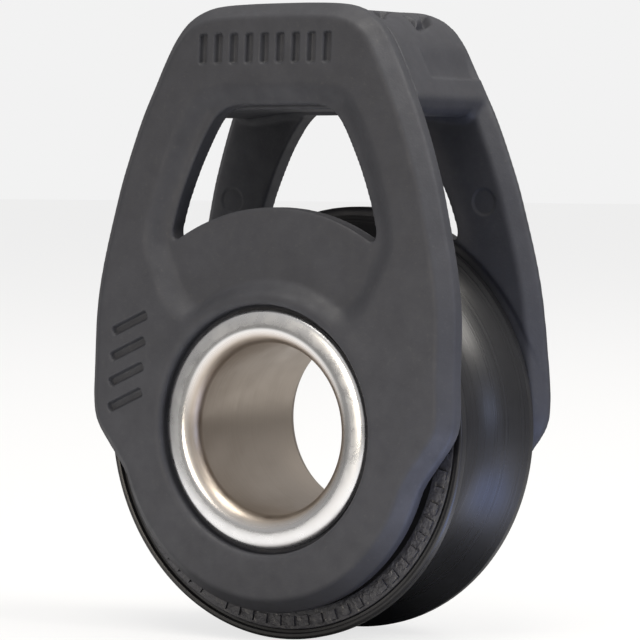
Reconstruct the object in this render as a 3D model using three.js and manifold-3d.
// A small single sheave block for an 8 mm line, turning on balls around a hollow axle.
// Millimetres. The origin is the middle of the axle: +Y runs along the axle towards the back
// cheek, +Z points up to the crown, and the block is the same left and right of the YZ plane.

import * as THREE from 'three';
import { mergeVertices } from 'three/addons/utils/BufferGeometryUtils.js';
import Module from 'manifold-3d';

const wasm = await Module();
wasm.setup();

// ---------------------------------------------------------------- driving dimensions

const SHEAVE_RADIUS = 15;       // over the rims
const SHEAVE_HALF_WIDTH = 4.95;
const GROOVE_DEPTH = 2.8;       // at the middle of the groove
const GROOVE_HALF_WIDTH = 4.15; // between the rims
const SIDE_RECESS = 4.6;        // the hub's side face, inside the marked ring
const RING_INSIDE = 13;         // inner radius of that ring
const BEARING_BORE = 10.75;     // radius of the sheave's ball race

const CHEEK_INSIDE = 5.2;       // distance of a cheek's inner face from the middle plane
const CHEEK_OUTSIDE = 7.5;
const LEAN_START = 3.6;         // height above which the cheeks lean in
const LEAN = Math.tan(THREE.MathUtils.degToRad(3));
const EDGE_ROUND = 1.2;         // round on a cheek's outer edge
const BOSS_RADIUS = 12.95;      // the cheek's outline round the axle
const FRONT_TOP = 30.15;
const BACK_TOP = 29.85;
const WINDOW_FOOT_RADIUS = 15.7; // the window's foot follows the sheave's rim
const WINDOW_TOP = 22.95;
const DISH_DEPTH = 0.8;         // hollow round the window and over the axle
const RIM_RADIUS = 10.4;        // raised rim round the axle's flange
const SHEAVE_POCKET_RADIUS = 15.6;

const BRIDGE_UNDERSIDE = 22.3;
const PARTING_GAP = 0.3;        // between the front cheek and the bridge
const PEG_RADIUS = 1.1;
const PEG_LENGTH = 1.2;
const PEG_OFFSET = 4;
const PEG_HEIGHT = 26.5;

const BORE_RADIUS = 6.1;
const TUBE_RADIUS = 7;
const SPIGOT_RADIUS = 6.5;      // the tube's thinner far end, inside the end ring
const FLANGE_RADIUS = 8.49;
const FLANGE_FACE = 7.2;
const FLANGE_BACK = 6.6;
const LIP_ROUND = 1.25;
const TUBE_END = 5.35;
const COUNTERBORE_RADIUS = 8.85;
const COUNTERBORE_FLOOR = 6.4;
const AXLE_HOLE_RADIUS = 7.1;

const RACE_RADIUS = 8.27;       // the inner race's ball track
const RACE_HALF_LENGTH = 4.9;
const SHOULDER_RADIUS = 8.9;    // between the two ball rows
const SHOULDER_HALF_WIDTH = 1.65;
const SHEAVE_RIB_RADIUS = 9.3;
const BALL_RADIUS = 1.1906;     // a 3/32 inch ball
const BALL_PITCH_RADIUS = 9.5;
const BALL_ROW_OFFSET = 2.95;
const BALLS_PER_ROW = 24;
const WASHER_INSIDE = 8.4;
const WASHER_OUTSIDE = 10.45;
const WASHER_NEAR = 4.3;
const WASHER_FAR = 4.85;

const ROUND_SEGMENTS = 48;

// ---------------------------------------------------------------- materials

const polyamide = new THREE.MeshStandardMaterial({ color: 0x494a4d, roughness: 0.72, metalness: 0 });
const acetalBlack = new THREE.MeshStandardMaterial({ color: 0x2b2c30, roughness: 0.45, metalness: 0 });
const acetalWhite = new THREE.MeshStandardMaterial({ color: 0xe6e3da, roughness: 0.4, metalness: 0 });
const stainless = new THREE.MeshStandardMaterial({ color: 0xa8a39c, roughness: 0.3, metalness: 1 });

// ---------------------------------------------------------------- solids

function solidOf(geometry) {
  const bare = geometry.clone();
  bare.deleteAttribute('normal');
  bare.deleteAttribute('uv');
  const merged = mergeVertices(bare, 1e-4);
  return new wasm.Manifold(new wasm.Mesh({
    numProp: 3,
    vertProperties: new Float32Array(merged.attributes.position.array),
    triVerts: new Uint32Array(merged.index.array),
  }));
}

function geometryOf(solid) {
  const mesh = solid.getMesh();
  const geometry = new THREE.BufferGeometry();
  geometry.setAttribute('position', new THREE.BufferAttribute(new Float32Array(mesh.vertProperties), 3));
  geometry.setIndex(new THREE.BufferAttribute(new Uint32Array(mesh.triVerts), 1));
  geometry.computeVertexNormals();
  return geometry;
}

// An upright outline in X and Z, swept along Y from near to far.
function slab(outline, near, far, curveSegments = 6) {
  const geometry = new THREE.ExtrudeGeometry(outline, {
    depth: far - near, bevelEnabled: false, curveSegments,
  });
  geometry.rotateX(Math.PI / 2);
  geometry.translate(0, far, 0);
  return geometry;
}

// A profile of [radius, y] points, turned about the axle. It closes on itself, either way round.
function turned(profile) {
  const points = profile.map(([radius, y]) => new THREE.Vector2(radius, y));
  if (THREE.ShapeUtils.isClockWise(points)) points.reverse();
  return new THREE.LatheGeometry([...points, points[0]], ROUND_SEGMENTS);
}

function disc(radius, near, far) {
  const geometry = new THREE.CylinderGeometry(radius, radius, far - near, ROUND_SEGMENTS);
  geometry.translate(0, (near + far) / 2, 0);
  return geometry;
}

// Points on a round of a turned profile, from angle start to angle end, in degrees.
function round(centreRadius, centreY, radius, start, end, steps) {
  return Array.from({ length: steps + 1 }, (_, i) => {
    const angle = THREE.MathUtils.degToRad(start + (end - start) * i / steps);
    return [centreRadius + radius * Math.cos(angle), centreY + radius * Math.sin(angle)];
  });
}

// A closed outline from its right half, whose first and last points are on the centre line.
function symmetric(half) {
  const left = half.slice(1, -1).reverse().map((p) => new THREE.Vector2(-p.x, p.y));
  return new THREE.Shape([...half, ...left]);
}

function curve(points, divisions) {
  return new THREE.SplineCurve(points.map(([x, z]) => new THREE.Vector2(x, z))).getPoints(divisions);
}

function arc(radius, start, end, divisions) {
  return new THREE.EllipseCurve(0, 0, radius, radius, start, end, end < start).getPoints(divisions);
}

// ---------------------------------------------------------------- cheeks

// The side climbs from the boss over the shoulder to the crown. inset shrinks it evenly.
function cheekOutline(top, inset = 0) {
  const sideRise = [
    [13.3, -2.7], [14, -0.9], [15, 1.2], [15.3, 3.2], [14.9, 10], [13.45, 16],
    [11.55, 22], [9.95, top - 5.2], [8.2, top - 2.2], [6.4, top - 0.75], [3.6, top - 0.1], [0, top],
  ];
  const side = curve(sideRise, 26);
  const boss = arc(BOSS_RADIUS, -Math.PI / 2, THREE.MathUtils.degToRad(-14), 9);
  const half = [...boss, ...side];
  if (inset === 0) return symmetric(half);
  const moved = half.map((p, i) => {
    const before = half[Math.max(i - 1, 0)];
    const after = half[Math.min(i + 1, half.length - 1)];
    const along = new THREE.Vector2().subVectors(after, before).normalize();
    return new THREE.Vector2(p.x - along.y * inset, p.y + along.x * inset);
  });
  moved[0].x = 0;
  moved[moved.length - 1].x = 0;
  return symmetric(moved);
}

function windowOutline() {
  const foot = arc(WINDOW_FOOT_RADIUS, Math.PI / 2, THREE.MathUtils.degToRad(57), 8);
  const side = curve([
    [8.75, 14], [8.15, 16.2], [7, 19.05], [5.5, 21.8], [4.3, WINDOW_TOP - 0.2], [3.2, WINDOW_TOP],
  ], 12);
  return symmetric([...foot, ...side, new THREE.Vector2(0, WINDOW_TOP)]);
}

function dishOutline() {
  return symmetric(curve([
    [0, 6.5], [7.3, 7.3], [10.2, 11.2], [10.6, 14], [9.3, 18.6], [7.4, 22.8], [5.4, 24.3], [0, 24.5],
  ], 28));
}

// Moves everything above LEAN_START towards the middle plane, in proportion to its height.
function leaned(solid, side) {
  const huge = 100;
  const above = new THREE.BoxGeometry(huge, huge, huge).translate(0, 0, LEAN_START + huge / 2);
  const upper = geometryOf(solid.intersect(solidOf(above)));
  const shear = new THREE.Matrix4().set(
    1, 0, 0, 0,
    0, 1, -side * LEAN, side * LEAN * LEAN_START,
    0, 0, 1, 0,
    0, 0, 0, 1,
  );
  upper.applyMatrix4(shear);
  return solid.subtract(solidOf(above)).add(solidOf(upper));
}

// A cheek on the +Y side: a plate with a rounded outer edge, stepped in as two inset layers.
function cheekPlate(top) {
  const layers = [[0, CHEEK_OUTSIDE - EDGE_ROUND], [0.3, CHEEK_OUTSIDE - 0.45 * EDGE_ROUND],
    [0.9, CHEEK_OUTSIDE]];
  let plate = null;
  for (const [inset, far] of layers) {
    const layer = solidOf(slab(cheekOutline(top, inset), CHEEK_INSIDE, far));
    plate = plate ? plate.add(layer) : layer;
  }
  const dish = solidOf(slab(dishOutline(), CHEEK_OUTSIDE - DISH_DEPTH, CHEEK_OUTSIDE + 1));
  const window = solidOf(slab(windowOutline(), CHEEK_INSIDE - 1, CHEEK_OUTSIDE + 1));
  return plate.subtract(dish).subtract(window);
}

function cheek(top) {
  const rim = solidOf(disc(RIM_RADIUS, CHEEK_INSIDE, CHEEK_OUTSIDE));
  const sheavePocket = solidOf(disc(SHEAVE_POCKET_RADIUS, 0, CHEEK_INSIDE));
  const counterbore = solidOf(disc(COUNTERBORE_RADIUS, COUNTERBORE_FLOOR, CHEEK_OUTSIDE + 1));
  const axleHole = solidOf(disc(AXLE_HOLE_RADIUS, 0, CHEEK_OUTSIDE + 1));
  return leaned(cheekPlate(top), 1).add(rim).subtract(sheavePocket)
    .subtract(counterbore).subtract(axleHole);
}

function insideAt(height) {
  return CHEEK_INSIDE - LEAN * (height - LEAN_START);
}

function pegs(radius, near, far) {
  return [-PEG_OFFSET, PEG_OFFSET].map((x) => {
    const peg = new THREE.CylinderGeometry(radius, radius, far - near, 16);
    peg.translate(x, (near + far) / 2, PEG_HEIGHT);
    return solidOf(peg);
  });
}

// The bridge joins the cheeks over the sheave. It belongs to the back cheek, and its two pegs
// locate the front one.
function bridge() {
  const topEdge = BACK_TOP + 2;
  const sideView = new THREE.Shape([
    new THREE.Vector2(-(insideAt(BRIDGE_UNDERSIDE) - PARTING_GAP), BRIDGE_UNDERSIDE),
    new THREE.Vector2(insideAt(BRIDGE_UNDERSIDE) + 1, BRIDGE_UNDERSIDE),
    new THREE.Vector2(insideAt(topEdge) + 1, topEdge),
    new THREE.Vector2(-(insideAt(topEdge) - PARTING_GAP), topEdge),
  ]);
  const wide = 2 * SHEAVE_RADIUS;
  const wedge = new THREE.ExtrudeGeometry(sideView, { depth: wide, bevelEnabled: false });
  wedge.applyMatrix4(new THREE.Matrix4().set(
    0, 0, 1, -wide / 2,
    1, 0, 0, 0,
    0, 1, 0, 0,
    0, 0, 0, 1,
  ));
  const crown = solidOf(slab(cheekOutline(BACK_TOP, 0.12), -CHEEK_OUTSIDE, CHEEK_OUTSIDE));
  return solidOf(wedge).intersect(crown);
}

function halfTurn(geometry) {
  return geometry.rotateZ(Math.PI);
}

const pegFace = -(insideAt(PEG_HEIGHT) - PARTING_GAP);
const sockets = pegs(PEG_RADIUS + 0.3, pegFace - PEG_LENGTH - 0.3, 0);
let frontSolid = solidOf(halfTurn(geometryOf(cheek(FRONT_TOP))));
for (const socket of sockets) frontSolid = frontSolid.subtract(socket);
let backSolid = cheek(BACK_TOP).add(bridge());
for (const peg of pegs(PEG_RADIUS, pegFace - PEG_LENGTH, 0)) backSolid = backSolid.add(peg);

// ---------------------------------------------------------------- axle, race and washers

// The sleeve's front end is rolled out into a flange; its far end is turned down to a spigot.
const hollowAxle = turned([
  [BORE_RADIUS, TUBE_END],
  ...round(BORE_RADIUS + LIP_ROUND, -FLANGE_FACE + LIP_ROUND, LIP_ROUND, 180, 270, 5),
  [FLANGE_RADIUS, -FLANGE_FACE],
  [FLANGE_RADIUS, -FLANGE_BACK],
  [TUBE_RADIUS, -FLANGE_BACK],
  [TUBE_RADIUS, 1.9],
  [SPIGOT_RADIUS, 1.9],
  [SPIGOT_RADIUS, TUBE_END],
]);

const axleEndRing = turned([
  [SPIGOT_RADIUS + 0.05, 2],
  [SPIGOT_RADIUS + 0.05, TUBE_END + 0.05],
  [BORE_RADIUS + 0.05, TUBE_END + 0.1],
  [BORE_RADIUS + 0.35, TUBE_END + 0.75],
  [BORE_RADIUS + 0.95, FLANGE_FACE - 0.35],
  [BORE_RADIUS + 1.5, FLANGE_FACE],
  [FLANGE_RADIUS, FLANGE_FACE],
  [FLANGE_RADIUS, FLANGE_BACK],
  [TUBE_RADIUS, FLANGE_BACK],
  [TUBE_RADIUS, 2],
]);

const innerRace = turned([
  [TUBE_RADIUS + 0.05, -RACE_HALF_LENGTH],
  [RACE_RADIUS, -RACE_HALF_LENGTH],
  [RACE_RADIUS, -SHOULDER_HALF_WIDTH],
  [SHOULDER_RADIUS, -SHOULDER_HALF_WIDTH],
  [SHOULDER_RADIUS, SHOULDER_HALF_WIDTH],
  [RACE_RADIUS, SHOULDER_HALF_WIDTH],
  [RACE_RADIUS, RACE_HALF_LENGTH],
  [TUBE_RADIUS + 0.05, RACE_HALF_LENGTH],
]);

function ballWasher(side) {
  return turned([
    [WASHER_INSIDE, WASHER_NEAR], [WASHER_OUTSIDE, WASHER_NEAR],
    [WASHER_OUTSIDE, WASHER_FAR], [WASHER_INSIDE, WASHER_FAR],
  ].map(([radius, y]) => [radius, side * y]));
}

// ---------------------------------------------------------------- sheave and balls

const grooveRadius = (GROOVE_HALF_WIDTH ** 2 + GROOVE_DEPTH ** 2) / (2 * GROOVE_DEPTH);
const grooveHalfAngle = THREE.MathUtils.radToDeg(Math.asin(GROOVE_HALF_WIDTH / grooveRadius));
const grooveCentre = SHEAVE_RADIUS - GROOVE_DEPTH + grooveRadius;
const sheave = turned([
  [BEARING_BORE, -SIDE_RECESS],
  [RING_INSIDE, -SIDE_RECESS],
  [RING_INSIDE, -SHEAVE_HALF_WIDTH],
  [SHEAVE_RADIUS, -SHEAVE_HALF_WIDTH],
  ...round(grooveCentre, 0, grooveRadius, 180 + grooveHalfAngle, 180 - grooveHalfAngle, 8),
  [SHEAVE_RADIUS, SHEAVE_HALF_WIDTH],
  [RING_INSIDE, SHEAVE_HALF_WIDTH],
  [RING_INSIDE, SIDE_RECESS],
  [BEARING_BORE, SIDE_RECESS],
  [BEARING_BORE, SHOULDER_HALF_WIDTH],
  [SHEAVE_RIB_RADIUS, SHOULDER_HALF_WIDTH],
  [SHEAVE_RIB_RADIUS, -SHOULDER_HALF_WIDTH],
  [BEARING_BORE, -SHOULDER_HALF_WIDTH],
]);

const ballShape = new THREE.SphereGeometry(BALL_RADIUS, 8, 6);

function ballRow(rowName, side) {
  const row = new THREE.Group();
  for (let i = 0; i < BALLS_PER_ROW; i++) {
    const angle = 2 * Math.PI * i / BALLS_PER_ROW;
    const ball = new THREE.Mesh(ballShape, acetalWhite);
    ball.name = `${rowName}_ball_${String(i + 1).padStart(2, '0')}`;
    ball.position.set(
      BALL_PITCH_RADIUS * Math.cos(angle),
      side * BALL_ROW_OFFSET,
      BALL_PITCH_RADIUS * Math.sin(angle),
    );
    row.add(ball);
  }
  return row;
}

// ---------------------------------------------------------------- assembly

function piece(name, geometry, material) {
  const mesh = new THREE.Mesh(geometry, material);
  mesh.name = name;
  return mesh;
}

const block = new THREE.Group();
block.add(
  piece('front_cheek', geometryOf(frontSolid), polyamide),
  piece('back_cheek', geometryOf(backSolid), polyamide),
  piece('hollow_axle', hollowAxle, stainless),
  piece('axle_end_ring', axleEndRing, stainless),
  piece('inner_race', innerRace, acetalBlack),
  piece('front_ball_washer', ballWasher(-1), acetalBlack),
  piece('back_ball_washer', ballWasher(1), acetalBlack),
  piece('sheave', sheave, acetalBlack),
  ballRow('front', -1),
  ballRow('back', 1),
);

export default block;
